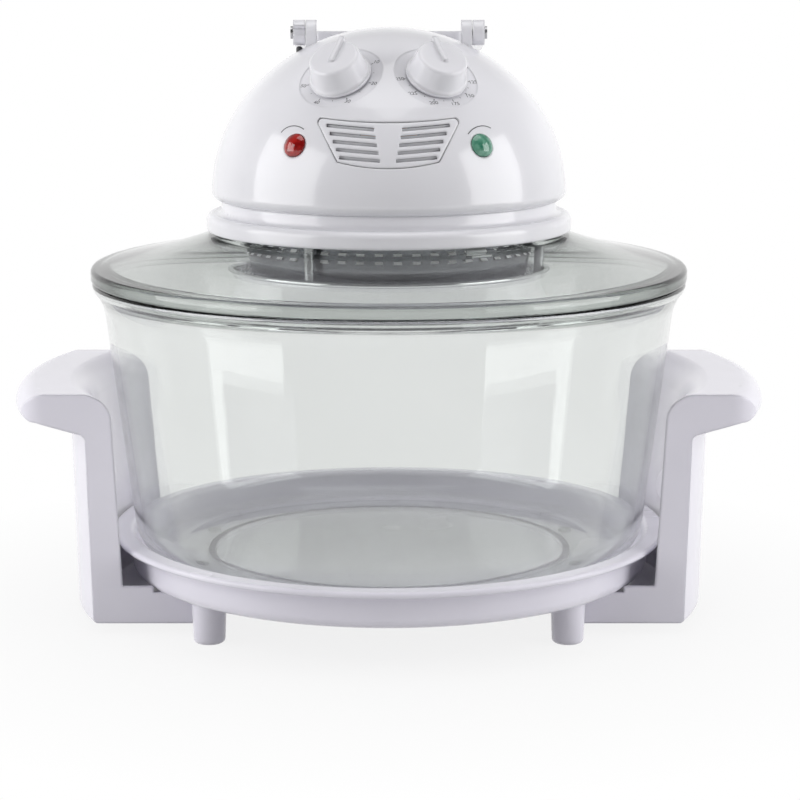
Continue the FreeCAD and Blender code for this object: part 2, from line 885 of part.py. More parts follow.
def pivot_level():
    """The carry handle's axis, high enough for its hubs to turn just over the dome beside the lugs."""
    _, _, cap_centre, cap = dome_arcs(0.0)
    height = cap_centre + root(cap * cap - hub_inner() * hub_inner())
    return dome_level + height + cell("hub_radius") + cell("hub_clear")


def lug(name, low, high):
    """One upright ear for the carry handle's pin, from low to high along X."""
    level = pivot_level()
    radius = cell("hub_radius")
    plate = block(f"{name}_plate", (low, high), (0 - radius, radius), (level - 18.0, level))
    eye = cylinder(f"{name}_eye", radius, high - low, low, 0.0, level, ALONG_X)
    return fuse(name, plate, eye)


def head_cover():
    wall = cell("plastic")
    tuck = 5.0
    tuck_level = seam + tuck
    outer_dome = dome("cover_outer_dome", 0.0, 2.3)
    tuck_ring = torus("cover_tuck", head_radius - tuck - 0.03, tuck, tuck_level)
    foot_disc = cylinder("cover_foot", head_radius - tuck - 0.03, tuck, z=seam)
    inner_edge = cell("lug_inner")
    outer_edge = inner_edge + cell("lug_width")
    lugs = [
        lug("lug_right", inner_edge, outer_edge),
        lug("lug_left", 0 - outer_edge, 0 - inner_edge),
    ]
    solid = fuse("cover_solid", outer_dome, tuck_ring, foot_disc, *lugs)
    inside = head_radius - 7.6
    hollow_neck = cylinder("cover_hollow_neck", inside, 1.4, z=seam)
    hollow_flare = cone("cover_hollow_flare", inside, head_radius - wall - 0.1, 5.4, z=seam + 1.4)
    hollow_dome = dome("cover_hollow_dome", wall, seam + 6.8 - dome_level)
    shell = cut("cover_shell", solid, hollow_neck, hollow_flare, hollow_dome)

    # Inner pads behind the dial seats, pillars for the screws, and legs for the switch
    pads = dial_pads("dial_pad", 0.0)
    pillars = [
        cylinder(f"cover_pillar_{index}", 4.5, 90.0, x, y, floor_top)
        for index, (x, y) in enumerate(cover_screw_places())
    ]
    legs = [
        cylinder(f"switch_leg_{index}", 2.5, 60.0, switch_x(), y, switch_top())
        for index, y in enumerate((-7.0, 7.0))
    ]
    inserts = common("cover_inserts", fuse("cover_insert_set", *pads, *pillars, *legs),
                     fuse("cover_inner_room", dome("cover_room_dome", 1.0),
                          cylinder("cover_room_low", head_radius - 12.0, 20.0, z=floor_top)))
    body = fuse("cover_body", shell, inserts)

    tools = []
    for side, label in ((-1, "left"), (1, "right")):
        seat = cylinder(f"dial_seat_{label}", cell("dial_radius"), 20.0)
        seat.Placement = dial_frame(side)
        bush = cylinder(f"dial_hole_{label}", 5.3, 40.0)
        bush.Placement = dial_frame(side).multiply(FreeCAD.Placement(Vector(0, 0, -20), Rotation()))
        lamp = cylinder(f"lamp_hole_{label}", cell("lamp_radius") + 0.2, 30.0)
        lamp.Placement = lamp_frame(side).multiply(FreeCAD.Placement(Vector(0, 0, -15), Rotation()))
        tools += [seat, bush, lamp]
    tools.append(vent_window("vent_opening", play))
    tools += [
        cylinder(f"cover_pilot_{index}", 1.5, 14.0, x, y, floor_top - 1.0)
        for index, (x, y) in enumerate(cover_screw_places())
    ]
    bore_length = cell("lug_width") + 2.0
    bore_places = ((inner_edge - 1.0, "right"), (0 - outer_edge - 1.0, "left"))
    tools += [
        cylinder(f"lug_bore_{label}", cell("pin_radius"), bore_length, start, 0.0, pivot_level(), ALONG_X)
        for start, label in bore_places
    ]
    plunger_hole = cylinder("plunger_hole", 2.1, 60.0, switch_x(), 0.0, switch_top())
    inlet_window = block(
        "inlet_window", (-15.3, 15.3), (60, 140), (inlet_level() - 10.3, inlet_level() + 10.3)
    )
    tools += [plunger_hole, inlet_window]
    return sub_part("head_cover", cut("cover", body, *tools))


def vent_grille():
    """A curved panel flush in the dome, with a wider flange behind the wall and two rows of slots."""
    wall = cell("plastic")
    face = common("vent_face", dome("vent_face_dome", 0.0), vent_window("vent_prism", 0.0))
    back = common("vent_back", dome("vent_back_dome", wall + 0.15), vent_window("vent_back_prism", 1.6))
    panel = cut("vent_panel", fuse("vent_full", face, back), dome("vent_inside", wall + 1.6))
    slots = []
    rows = 5
    for row in range(rows):
        share = row / (rows - 1)
        level = cell("vent_top") - 5.2 - (cell("vent_top") - cell("vent_bottom") - 8.8) * share
        start = 4.2 + 3.2 * (1 - share)
        end = cell("vent_half_top") - 4.4 - (cell("vent_half_top") - cell("vent_half_bottom") - 3.5) * share
        for side, label in ((-1, "left"), (1, "right")):
            slot = bind(
                add("Part::Box", f"slot_{label}_{row}"),
                Length=end - start, Width=140.0, Height=cell("slot_height"),
            )
            tilt = Rotation(Vector(0, 1, 0), -4.0 * side)
            first = start if side > 0 else 0 - end
            rise = math.sin(math.radians(4.0)) * (end.number - start)
            lift = dome_level + level - (0.8 if side > 0 else 0.8 - rise)
            place(slot, first, -150.0, lift, tilt)
            slots.append(slot)
    return sub_part("vent_grille", cut("vent", panel, *slots, *dial_pads("vent_pad_room", play.number)))


# Controls
def cap_corner(radius, low, rise):
    """The outline corner that ends a round cap on the axis, for an edge at radius and low."""
    ball = (radius * radius + rise * rise) / (2 * rise)
    out = radius / ball
    up = (ball - rise) / ball
    share = ball / root(out * out + (1 + up) * (1 + up))
    return 0, low + rise, share * out, low + rise - ball + share * (1 + up)


def lens(name, side):
    radius = cell("lamp_radius")
    body = turned(f"{name}_body", [
        (0, -5.0),
        (radius + 1.7, -5.0),
        (radius + 1.7, -3.3),
        (radius, -3.3),
        (radius, 0.6),
        cap_corner(radius, 0.6, 2.4),
    ])
    body.Placement = lamp_frame(side)
    return sub_part(name, body)


def lamp_holders():
    holders = []
    for side, label in ((-1, "left"), (1, "right")):
        tube = cylinder(f"lamp_tube_{label}", cell("lamp_radius") + 1.2, 16.0, z=-21.0)
        room = cylinder(f"lamp_room_{label}", cell("lamp_radius") - 0.8, 14.0, z=-19.0)
        holder = cut(f"lamp_holder_{label}", tube, room)
        holder.Placement = lamp_frame(side)
        holders.append(holder)
    return sub_part("lamp_holders", group("lamp_holder_set", holders))


def control(name, side, depth, across):
    """A timer or thermostat: a box under its dial seat, a bush through the wall, and a turning shaft."""
    pad = 5.0
    shaft = cell("shaft_radius")
    bore = shaft + cell("running_play")
    box = block(f"{name}_box", (-across / 2, across / 2), (-across / 2, across / 2), (-pad - depth, -pad))
    bush = cylinder(f"{name}_bush", 5.0, pad - 0.4, z=-pad)
    hole = cylinder(f"{name}_bore", bore, 40.0, z=-pad - depth + 6.0)
    case = cut(f"{name}_case", fuse(f"{name}_solid", box, bush), hole)
    case.Placement = dial_frame(side)
    sub_part(f"{name}_unit", case)

    rod = cylinder(f"{name}_rod", shaft, pad + depth - 6.0 + 12.0, z=-pad - depth + 6.0)
    rod.Placement = dial_frame(side).multiply(rod.Placement)
    sub_part(f"{name}_shaft", rod)

    radius = cell("knob_radius")
    height = cell("knob_height")
    grip = turned(f"{name}_grip", [
        (0, 1.0),
        (radius + 1.0, 1.0),
        (radius + 1.0, 3.0),
        (radius - 0.4, 4.2, radius + 0.1, 3.3),
        (radius - 2.4, height - 1.0),
        (radius - 4.4, height, radius - 3.1, height - 0.3),
        (0, height),
    ])
    pointer = block(f"{name}_pointer", (-1.4, 1.4), (-4, radius - 1.0), (height - 3.0, height + 1.4))
    socket = cylinder(f"{name}_socket", shaft, 11.0, z=1.0)
    knob = cut(f"{name}_knob_solid", fuse(f"{name}_knob_full", grip, pointer), socket)
    knob.Placement = dial_frame(side)
    sub_part(f"{name}_knob", knob)


def thermostat_probe():
    level = shield_under - 3.0
    circle = cell("cup_radius") - cell("probe_inset")
    rod = cylinder("probe_rod", 2.5, 44.0, -22.0, circle, level, ALONG_X)
    strap = block("probe_strap", (-5, 5), (circle - 3.1, circle + 3.1), (level - 3.0, shield_under))
    return sub_part("thermostat_probe", place(fuse("probe", rod, strap), rotation=turn_about_z(80)))


def thermal_cutout():
    x, y = cutout_place()
    can = cylinder("cutout_can", 8.0, 10.0, x, y, floor_under)
    tabs = [
        block(f"cutout_tab_{index}", (x + step - 0.4, x + step + 0.4), (y - 3, y + 3),
              (floor_under + 9.0, floor_under + 17.0))
        for index, step in enumerate((-4.0, 4.0))
    ]
    return sub_part("thermal_cutout", fuse("cutout", can, *tabs))


# Fans and motor, all on the Z axis
def stack_bottom():
    return floor_top + 20.3


def stack_top():
    return stack_bottom() + cell("stack_height")


def bracket_places():
    return [(42.0, -16.0), (-42.0, -16.0), (42.0, 12.0), (-42.0, 12.0)]


def stator_screw_places():
    return [(25.0, -18.0), (-25.0, -18.0), (25.0, 13.0), (-25.0, 13.0)]


def fan_shaft():
    low = pan_level + 12.5
    return sub_part("fan_shaft", cylinder("shaft", cell("shaft_radius"), stack_top() + 6.0 - low, z=low))


def impeller(name, hub_radius_here, radius, level, height, blades, disc_at_top):
    """A hub with radial blades, and a thin disc above or below them."""
    skin = 0.8
    hub = cylinder(f"{name}_hub", hub_radius_here, height, z=level)
    disc_level = level + height - skin if disc_at_top else level
    disc = cylinder(f"{name}_disc", radius, skin, z=disc_level)
    vanes = []
    for index in range(blades):
        vane = block(f"{name}_vane_{index}", (0, radius - hub_radius_here + 4.0), (0, skin), (0, height))
        place(vane, hub_radius_here - 1.0, 0, level, turn_about_z(-22))
        vanes.append(swung(f"{name}_blade_{index}", vane, 360.0 * index / blades))
    bore = cylinder(f"{name}_bore", cell("shaft_radius"), height * 3, z=level - height)
    solid = fuse(f"{name}_solid", hub, disc, *vanes)
    trimmed = common(f"{name}_trim", solid, cylinder(f"{name}_reach", radius, height, z=level))
    return sub_part(name, cut(f"{name}_bored", trimmed, bore))


def fan_nut():
    nut = add("Part::Prism", "nut_hexagon")
    nut.Polygon = 6
    nut.Circumradius = 6.4
    nut.Height = 4.0
    place(nut, z=pan_level + 13.0)
    bore = cylinder("nut_bore", cell("shaft_radius"), 20.0, z=pan_level)
    return sub_part("fan_nut", cut("nut", nut, bore))


def motor_rotor():
    body = cylinder("rotor_body", cell("rotor_radius"), cell("stack_height") - 3.0, z=stack_bottom() + 1.5)
    bore = cylinder("rotor_bore", cell("shaft_radius"), 60.0, z=stack_bottom() - 10.0)
    return sub_part("motor_rotor", cut("rotor", body, bore))


def motor_stator():
    low, high = stack_bottom(), stack_top()
    stack = block("stack", (-31, 31), (-24, 41), (low, high))
    bore = cylinder("stack_bore", cell("rotor_radius") + 0.5, 60.0, z=low - 10.0)
    window = block("stack_window", (-18, 18), (20, 30), (low - 1.0, high + 1.0))
    holes = [
        cylinder(f"stack_hole_{index}", 2.0, 60.0, x, y, low - 10.0)
        for index, (x, y) in enumerate(stator_screw_places())
    ]
    return sub_part("motor_stator", cut("stator", stack, bore, window, *holes))


def motor_coil():
    low, high = stack_bottom(), stack_top()
    bobbin = block("coil_block", (-16, 16), (21.5, 48.0), (low - 5.5, high + 5.5))
    limb = block("coil_limb", (-20, 20), (30, 41), (low, high))
    return sub_part("motor_coil", cut("coil", bobbin, limb))


def motor_bracket(name, level, bush_low, wide):
    """A steel plate across the lamination stack with the shaft's bush in its middle."""
    plate = block(f"{name}_plate", (0 - size_of(wide), wide), (-22, 17), (level, level + 1.6))
    bush = cylinder(f"{name}_bush", 6.5, 5.0, z=bush_low)
    bore = cylinder(f"{name}_bore", cell("shaft_radius") + cell("running_play"), 30.0, z=level - 15.0)
    places = stator_screw_places() + (bracket_places() if wide > 40 else [])
    holes = [
        cylinder(f"{name}_hole_{index}", 2.0 if index < 4 else 1.7, 30.0, x, y, level - 15.0)
        for index, (x, y) in enumerate(places)
    ]
    return sub_part(name, cut(f"{name}_drilled", fuse(f"{name}_solid", plate, bush), bore, *holes))


def stator_screws():
    screws = [
        screw(f"stator_screw_{index}", x, y, stack_top() + 1.6, cell("stack_height") + 5.0, 3.4, 2.0)
        for index, (x, y) in enumerate(stator_screw_places())
    ]
    return sub_part("stator_screws", group("stator_screw_set", screws))


def bracket_screws():
    screws = [
        screw(f"bracket_screw_{index}", x, y, stack_bottom(), 10.0, 3.2, 1.5)
        for index, (x, y) in enumerate(bracket_places())
    ]
    return sub_part("bracket_screws", group("bracket_screw_set", screws))


# Mains side
def inlet_level():
    return dome_level + 14.0


def mains_inlet():
    level = inlet_level()
    face = head_radius - 0.3
    body = block("inlet_body", (-15, 15), (face - 25.0, face), (level - 10.0, level + 10.0))
    flange = block("inlet_flange", (-18, 18), (face - 12.0, face - 9.0), (level - 12.0, level + 12.0))
    mouth = block("inlet_mouth", (-12, 12), (face - 17.0, face + 1.0), (level - 8.0, level + 8.0))
    holes = inlet_blades("inlet_pin_hole", face - 30.0, face)
    return sub_part("mains_inlet", cut("inlet", fuse("inlet_solid", body, flange), mouth, *holes))


def inlet_blades(name, back, front):
    """Three flat upright pins, the middle one higher, from back to front along Y."""
    level = inlet_level()
    return [
        block(f"{name}_{index}", (x - 1.0, x + 1.0), (back, front), (level + rise - 2.0, level + rise + 2.0))
        for index, (x, rise) in enumerate(((-7.0, -2.0), (7.0, -2.0), (0.0, 2.0)))
    ]


def inlet_pins():
    face = head_radius - 0.3
    pins = inlet_blades("inlet_pin", face - 30.0, face - 2.0)
    return sub_part("inlet_pins", group("inlet_pin_set", pins))


def terminal_block():
    body = block("terminal_body", (-20, 20), (56, 70), (floor_top, floor_top + 14.0))
    wells = [
        cylinder(f"terminal_well_{index}", 3.0, 20.0, x, 63.0, floor_top + 5.0)
        for index, x in enumerate((-12.0, 0.0, 12.0))
    ]
    return sub_part("terminal_block", cut("terminal", body, *wells))


# Carry handle and the switch it presses when folded down
def switch_x():
    return 0 - (hub_inner() + cell("hub_width") / 2)


def switch_top():
    return pivot_level() - 26.0


def fold_angle():
    """How far below level the folded handle lies, in degrees, with its bar just off the dome's back."""
    near = cell("grip_distance").number - cell("grip_width").number / 2
    half = cell("grip_height").number / 2
    _, _, cap_centre, cap = (size.number for size in dome_arcs(0.0))
    angle = 0.0
    for _ in range(8):
        reach = near * math.cos(angle) - half * math.sin(angle)
        height = cap_centre + math.sqrt(cap ** 2 - reach ** 2)
        drop = pivot_level().number - dome_level.number - height - play.number
        angle = math.asin((drop - half * math.cos(angle)) / near)
    return math.degrees(angle)


def cam_radius(turned_by):
    """The cam's radius falls evenly with the handle's turn, in degrees, from folded to upright."""
    return cell("hub_radius").number - cell("cam_lift").number * turned_by / 90.0


def cam_gap(name, low, high):
    """The ring piece taken off the hub so that what is left is the cam, even past upright."""
    steps = 20
    folded = fold_angle()
    first, upright, last = -4.0, 90.0, 125.0
    turns = [first + (upright - first) * index / steps for index in range(steps + 1)]

    def at(radius, turned_by):
        turn = math.radians(turned_by - folded)
        return Vector(0, -radius * math.sin(turn), -radius * math.cos(turn))

    spiral = Part.BSplineCurve()
    spiral.interpolate([at(cam_radius(turned_by), turned_by) for turned_by in turns])
    least = cam_radius(upright)
    rest = Part.Arc(at(least, upright), at(least, (upright + last) / 2), at(least, last))
    reach = cell("hub_radius").number + 3.0
    corners = [at(least, last), at(reach, last), at(reach * 1.5, (first + last) / 2),
               at(reach, first), at(cam_radius(first), first)]
    edges = [Part.makeLine(a, b) for a, b in zip(corners, corners[1:])]
    face = Part.Face(Part.Wire([spiral.toShape(), rest.toShape()] + edges))
    item = add("Part::Feature", name)
    item.Shape = face.extrude(Vector(high - low, 0, 0))
    item.Placement = FreeCAD.Placement(Vector(low, 0, 0), Rotation())
    return item


def carry_handle():
    inner = hub_inner()
    outer = inner + cell("hub_width")
    far = cell("grip_distance") + cell("grip_width") / 2
    near = far - cell("grip_width")
    bow = padded_body("handle_bow", "XY_Plane", [
        (inner, 0),
        (outer, 0),
        (outer, far - 18.0),
        (outer - 18.0, far, outer - 5.3, far - 5.3),
        (18.0 - outer, far),
        (0 - outer, far - 18.0, 5.3 - outer, far - 5.3),
        (0 - outer, 0),
        (0 - inner, 0),
        (0 - inner, near - 10.0),
        (10.0 - inner, near, 2.9 - inner, near - 2.9),
        (inner - 10.0, near),
        (inner, near - 10.0, inner - 2.9, near - 2.9),
    ], cell("grip_height"))
    hubs = [
        cylinder("hub_right", cell("hub_radius"), cell("hub_width"), inner, 0.0, 0.0, ALONG_X),
        cylinder("hub_left", cell("hub_radius"), cell("hub_width"), 0 - outer, 0.0, 0.0, ALONG_X),
    ]
    bore = cylinder("hub_bore", cell("pin_radius") + 0.08, 200.0, -100.0, 0.0, 0.0, ALONG_X)
    cam = cam_gap("cam_relief", -outer.number - 1.0, -inner.number + 0.2)
    solid = cut("carry_solid", fuse("carry_full", bow, *hubs), bore, cam)
    place(solid, z=pivot_level(), rotation=Rotation(Vector(1, 0, 0), 0 - fold_angle()))
    return sub_part("carry_handle", solid)


def handle_pins():
    inner = cell("lug_inner")
    length = cell("lug_width") + 0.4 + cell("hub_width")
    pins = []
    for side, label in ((1, "right"), (-1, "left")):
        rod = cylinder(f"pin_rod_{label}", cell("pin_radius"), length + 0.4)
        head = cylinder(f"pin_head_{label}", 3.5, 1.2, z=length + 0.3)
        pin = fuse(f"pin_{label}", rod, head)
        place(pin, inner * side, 0.0, pivot_level(), Rotation(Vector(0, 1, 0), 90 * side))
        pins.append(pin)
    return sub_part("handle_pins", group("pin_set", pins))


def safety_switch():
    x = switch_x()
    top = switch_top()
    body = block("switch_body", (x - 7.0, x + 7.0), (-11, 11), (top - 14.0, top))
    bore = cylinder("switch_bore", 1.85, 10.0, x, 0.0, top - 9.0)
    return sub_part("safety_switch", cut("switch", body, bore))


def switch_plunger():
    tip = pivot_level() - cell("hub_radius") - 0.55
    low = switch_top() - 8.0
    rod = cylinder("plunger_rod", 1.8, tip - 1.0 - low, switch_x(), 0.0, low)
    nose = cone("plunger_nose", 1.8, 0.9, 1.0, switch_x(), 0.0, tip - 1.0)
    return sub_part("switch_plunger", fuse("plunger", rod, nose))


# Build everything
base_tray()
for foot_side, (foot_at_x, foot_at_y) in foot_places().items():
    foot(foot_side, foot_at_x, foot_at_y)
handle("right", 0.0)
handle("left", 180.0)
handle_screws()
glass_bowl()
glass_lid()
neck_gasket()
pan_ring()
air_shield()
pan_posts()
heat_shield()
glass_clips()
halogen_tube()
tube_holders()
guard_grille()
head_base()
cover_screws()
head_cover()
vent_grille()
lens("power_lamp", -1)
lens("heat_lamp", 1)
lamp_holders()
control("timer", -1, 22.0, 27.0)
control("thermostat", 1, 20.0, 27.0)
thermostat_probe()
thermal_cutout()
fan_shaft()
impeller("hot_air_fan", 10.0, cell("cup_radius") - cell("fan_inset"), pan_level + 17.0, 8.5, 8, True)
impeller("cooling_fan", 9.0, cell("cool_fan_radius"), floor_top + 3.0, 9.0, 7, False)
fan_nut()
motor_rotor()
motor_stator()
motor_coil()
motor_bracket("motor_bracket_lower", stack_bottom() - 1.6, stack_bottom() - 5.0, 47.0)
motor_bracket("motor_bracket_upper", stack_top(), stack_top(), 31.0)
stator_screws()
bracket_screws()
mains_inlet()
inlet_pins()
terminal_block()
carry_handle()
handle_pins()
safety_switch()
switch_plunger()
doc.recompute()

# Check everything, then write one file for each sub-part
for item in doc.Objects:
    if "Invalid" in item.State or "Error" in item.State:
        raise RuntimeError(f"{item.Name} did not compute: {item.State}")
for name, item in SUB_PARTS.items():
    if item.Shape.isNull() or not item.Shape.isValid() or not item.Shape.Solids:
        raise RuntimeError(f"{name} has no valid solid")
for name, item in SUB_PARTS.items():
    item.Shape.exportStep(os.path.join("parts", f"{name}.step"))
print(len(SUB_PARTS), "sub-parts written")
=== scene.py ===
import bpy
import bmesh
import json
import math
from mathutils import Matrix, Vector


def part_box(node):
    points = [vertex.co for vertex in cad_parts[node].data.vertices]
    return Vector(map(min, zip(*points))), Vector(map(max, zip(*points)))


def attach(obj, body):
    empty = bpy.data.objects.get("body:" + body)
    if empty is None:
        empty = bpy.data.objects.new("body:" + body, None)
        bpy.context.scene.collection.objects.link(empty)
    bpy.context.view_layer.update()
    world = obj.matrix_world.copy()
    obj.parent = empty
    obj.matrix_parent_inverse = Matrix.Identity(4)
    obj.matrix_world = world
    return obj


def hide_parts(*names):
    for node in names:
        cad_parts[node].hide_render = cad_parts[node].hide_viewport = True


# Looks of a glass-bowl hot-air cooker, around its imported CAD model. Metres, front towards -Y.

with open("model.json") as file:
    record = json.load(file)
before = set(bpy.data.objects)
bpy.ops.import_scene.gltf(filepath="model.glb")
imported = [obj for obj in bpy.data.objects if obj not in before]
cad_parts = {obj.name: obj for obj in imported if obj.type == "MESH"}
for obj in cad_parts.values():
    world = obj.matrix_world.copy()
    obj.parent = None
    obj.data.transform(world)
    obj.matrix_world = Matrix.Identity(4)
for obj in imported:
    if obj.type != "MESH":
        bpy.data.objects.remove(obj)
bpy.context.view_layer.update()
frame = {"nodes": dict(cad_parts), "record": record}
nodes = frame["nodes"]

# Sizes read from the frame, and the few that a box can't give
rim_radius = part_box("glass_lid")[1].x
bowl_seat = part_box("glass_bowl")[0].z
bowl_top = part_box("glass_bowl")[1].z
neck_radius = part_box("neck_gasket")[1].x
neck_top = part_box("glass_lid")[1].z
pan_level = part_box("air_shield")[0].z
dome_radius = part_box("head_cover")[1].x
GLASS = 0.0045
BOWL_CORNER = 0.026
FLARE_HEIGHT = 0.0175
RIM_EDGE = 0.0074
DOME_RISE = 0.092
DOME_LEVEL = 0.236
DIAL_X = 0.026
DIAL_LEVEL = 0.0695
DIAL_DEPTH = 0.0028
LAMP_X = 0.0495
LAMP_LEVEL = 0.0332
CUP_RADIUS = 0.076
SHEET_METAL = 0.0008
VENT_TOP = 0.0473
VENT_BOTTOM = 0.0227
VENT_HALF_TOP = 0.0368
VENT_HALF_BOTTOM = 0.0265
VENT_ROWS = 5
SLOTS_PER_ROW = 50


# Camera, at the photograph's height and tilt
FOCAL_PIXELS = 2468.46
PICTURE_WIDTH = 800
SENSOR_WIDTH = 36.0
CAMERA_PLACE = Vector((0.0062, -1.38435, 0.38263))
CAMERA_DOWN = 0.1894


def make_camera():
    data = bpy.data.cameras.new("camera")
    data.sensor_width = SENSOR_WIDTH
    data.lens = SENSOR_WIDTH * FOCAL_PIXELS / PICTURE_WIDTH
    camera = bpy.data.objects.new("camera", data)
    camera.location = CAMERA_PLACE
    camera.rotation_euler = (math.pi / 2 - CAMERA_DOWN, 0, 0)
    bpy.context.scene.collection.objects.link(camera)
    bpy.context.scene.camera = camera


# Shader node helpers
def node(tree, kind, **inputs):
    """A shader node whose named inputs are set, or linked where the value is an output."""
    item = tree.nodes.new(f"ShaderNode{kind}")
    for name, value in inputs.items():
        socket = item.inputs[int(name[1:])] if name[0] == "_" else item.inputs[name.replace("_", " ")]
        if isinstance(value, bpy.types.NodeSocket):
            tree.links.new(value, socket)
        else:
            socket.default_value = value
    return item


def grey_ramp(tree, factor, stops):
    """A grey that follows a factor from 0 to 1, given as (place, grey) stops."""
    ramp = tree.nodes.new("ShaderNodeValToRGB")
    elements = ramp.color_ramp.elements
    while len(elements) < len(stops):
        elements.new(0.5)
    for element, (position, grey) in zip(elements, stops):
        element.position = position
        element.color = (grey, grey, grey, 1)
    tree.links.new(factor, ramp.inputs["Fac"])
    return ramp.outputs["Color"]


def multiplied(tree, first, second):
    item = node(tree, "Mix", Factor=1.0, _6=first, _7=second)
    item.data_type = "RGBA"
    item.blend_type = "MULTIPLY"
    return item.outputs["Result"]


def maximum(tree, *values):
    result = values[0]
    for value in values[1:]:
        item = node(tree, "Math", _0=result, _1=value)
        item.operation = "MAXIMUM"
        result = item.outputs[0]
    return result


# Light
def make_area_lamp(name, place, target, width, height, power):
    data = bpy.data.lights.new(name, "AREA")
    data.shape = "RECTANGLE"
    data.size = width
    data.size_y = height
    data.energy = power
    lamp = bpy.data.objects.new(name, data)
    lamp.location = place
    aim = Vector(target) - Vector(place)
    lamp.rotation_euler = aim.to_track_quat("-Z", "Y").to_euler()
    bpy.context.scene.collection.objects.link(lamp)


def make_world():
    """A white sweep behind the object and a dark room in front of it.

    The camera and what it sees through glass get the white. Reflections get the room: dark in
    front, white behind. Matt surfaces get an even light, weaker from the front."""
    world = bpy.data.worlds.new("studio")
    bpy.context.scene.world = world
    world.use_nodes = True
    tree = world.node_tree
    tree.nodes.clear()
    light_path = node(tree, "LightPath").outputs
    direction = node(tree, "SeparateXYZ", _0=node(tree, "TexCoord").outputs["Generated"]).outputs
    backward = node(tree, "MapRange", Value=direction["Y"], From_Min=-1.0).outputs["Result"]
    upward = node(tree, "MapRange", Value=direction["Z"], From_Min=-1.0).outputs["Result"]
    height = grey_ramp(tree, upward, ((0.6, 1.0), (0.76, 0.35)))
    room = multiplied(
        tree, grey_ramp(tree, backward, ((0.0, 0.1), (0.36, 0.08), (0.62, 0.5), (0.8, 1.0))), height
    )
    sweep = multiplied(tree, grey_ramp(tree, backward, ((0.3, 0.1), (0.55, 1.0))), height)
    fill = grey_ramp(tree, backward, ((0.0, 0.12), (0.5, 0.52), (1.0, 0.8)))
    through = node(tree, "Mix", Factor=light_path["Is Transmission Ray"], _6=room, _7=sweep)
    through.data_type = "RGBA"
    plain = node(tree, "Mix", Factor=light_path["Is Camera Ray"], _6=through.outputs["Result"], _7=(1, 1, 1, 1))
    plain.data_type = "RGBA"
    either = maximum(
        tree, light_path["Is Camera Ray"], light_path["Is Glossy Ray"], light_path["Is Transmission Ray"]
    )
    shown = node(tree, "Background", Color=plain.outputs["Result"])
    lighting = node(tree, "Background", Color=fill)
    mix = node(tree, "MixShader", _0=either, _1=lighting.outputs[0], _2=shown.outputs[0])
    node(tree, "OutputWorld", Surface=mix.outputs[0])


def floor_material():
    """White far off, and near the object a share of the real shading that holds its shadow."""
    material = bpy.data.materials.new("floor")
    material.use_nodes = True
    tree = material.node_tree
    tree.nodes.clear()
    light_path = node(tree, "LightPath").outputs
    seen = maximum(
        tree, light_path["Is Camera Ray"], light_path["Is Glossy Ray"], light_path["Is Transmission Ray"]
    )
    distance = node(tree, "VectorMath", _0=node(tree, "TexCoord").outputs["Object"])
    distance.operation = "LENGTH"
    share = grey_ramp(tree, distance.outputs["Value"], ((0.12, 0.85), (0.34, 1.0)))
    factor = node(tree, "Math", _0=seen, _1=share)
    factor.operation = "MULTIPLY"
    matt = node(tree, "BsdfDiffuse", Color=(0.6, 0.6, 0.6, 1))
    glow = node(tree, "Emission", Color=(1, 1, 1, 1))
    mix = node(tree, "MixShader", _0=factor.outputs[0], _1=matt.outputs[0], _2=glow.outputs[0])
    node(tree, "OutputMaterial", Surface=mix.outputs[0])
    return material


def make_studio():
    make_world()
    make_area_lamp("left_softbox", (-1.55, -0.55, 0.6), (0, 0, 0.2), 1.5, 1.3, 18)
    make_area_lamp("right_softbox", (1.6, -0.5, 0.6), (0, 0, 0.2), 1.3, 1.3, 17)
    make_area_lamp("top_softbox", (0.1, -0.1, 1.8), (0, 0, 0.2), 1.2, 1.0, 6.5)
    reach = 8.0
    mesh = bpy.data.meshes.new("floor")
    corners = [(-reach, -reach, 0), (reach, -reach, 0), (reach, reach, 0), (-reach, reach, 0)]
    mesh.from_pydata(corners, [], [(0, 1, 2, 3)])
    mesh.materials.append(floor_material())
    floor = bpy.data.objects.new("floor", mesh)
    bpy.context.scene.collection.objects.link(floor)


# Materials
def new_material(name):
    material = bpy.data.materials.new(name)
    material.use_nodes = True
    tree = material.node_tree
    return material, tree, tree.nodes["Principled BSDF"]


def noise(tree, scale, detail=2.0):
    place = node(tree, "TexCoord").outputs["Object"]
    return node(tree, "TexNoise", Vector=place, Scale=scale, Detail=detail).outputs["Fac"]


def vary_color(tree, shader, source, low, high):
    ramp = tree.nodes.new("ShaderNodeValToRGB")
    ramp.color_ramp.elements[0].position = 0.35
    ramp.color_ramp.elements[0].color = (*low, 1)
    ramp.color_ramp.elements[1].position = 0.65
    ramp.color_ramp.elements[1].color = (*high, 1)
    tree.links.new(source, ramp.inputs["Fac"])
    tree.links.new(ramp.outputs["Color"], shader.inputs["Base Color"])


def vary_roughness(tree, shader, source, low, high):
    spread = node(tree, "MapRange", Value=source, From_Min=0.3, From_Max=0.7, To_Min=low, To_Max=high)
    tree.links.new(spread.outputs["Result"], shader.inputs["Roughness"])


def add_bump(tree, shader, source, strength):
    bump = node(tree, "Bump", Strength=strength, Distance=0.0001, Height=source)
    tree.links.new(bump.outputs["Normal"], shader.inputs["Normal"])


